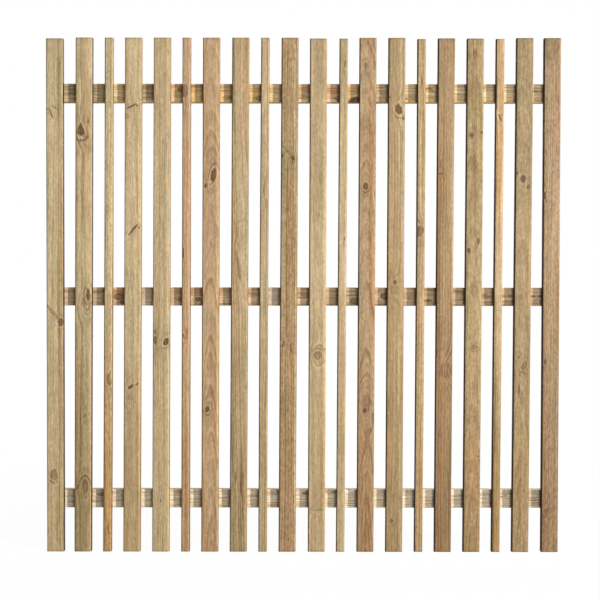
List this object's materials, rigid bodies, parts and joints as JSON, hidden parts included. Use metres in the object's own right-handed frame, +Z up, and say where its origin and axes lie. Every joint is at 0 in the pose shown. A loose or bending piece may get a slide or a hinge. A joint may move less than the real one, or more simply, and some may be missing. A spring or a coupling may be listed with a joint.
{
  "type": "slatted fence panel",
  "caption": "Square timber fence panel of upright slats, wide and narrow in turn with open gaps, stapled from behind to level rails.",
  "frame": {"origin": "on the ground line at the slats' feet, midway along the width and through the thickness", "axes": "+X along the panel, to the right as seen from the slatted side; +Y from the slats to the rails; +Z up"},
  "size_m": [1.8, 0.044, 1.8],
  "materials": {
    "slat_timber": "planed pressure-treated softwood, straw with olive and pinkish boards, knots",
    "rail_timber": "sawn pressure-treated softwood, grey-brown",
    "staple_wire": "galvanised wire"
  },
  "bodies": {
    "root": {"slat_01": "slat_timber", "slat_02": "slat_timber", "slat_03": "slat_timber", "slat_04": "slat_timber", "slat_05": "slat_timber", "slat_06": "slat_timber", "slat_07": "slat_timber", "slat_08": "slat_timber", "slat_09": "slat_timber", "slat_10": "slat_timber", "slat_11": "slat_timber", "slat_12": "slat_timber", "slat_13": "slat_timber", "slat_14": "slat_timber", "slat_15": "slat_timber", "slat_16": "slat_timber", "slat_17": "slat_timber", "slat_18": "slat_timber", "slat_19": "slat_timber", "slat_20": "slat_timber", "bottom_rail": "rail_timber", "middle_rail": "rail_timber", "top_rail": "rail_timber", "bottom_rail_staples": "staple_wire", "middle_rail_staples": "staple_wire", "top_rail_staples": "staple_wire"}
  },
  "joints": []
}
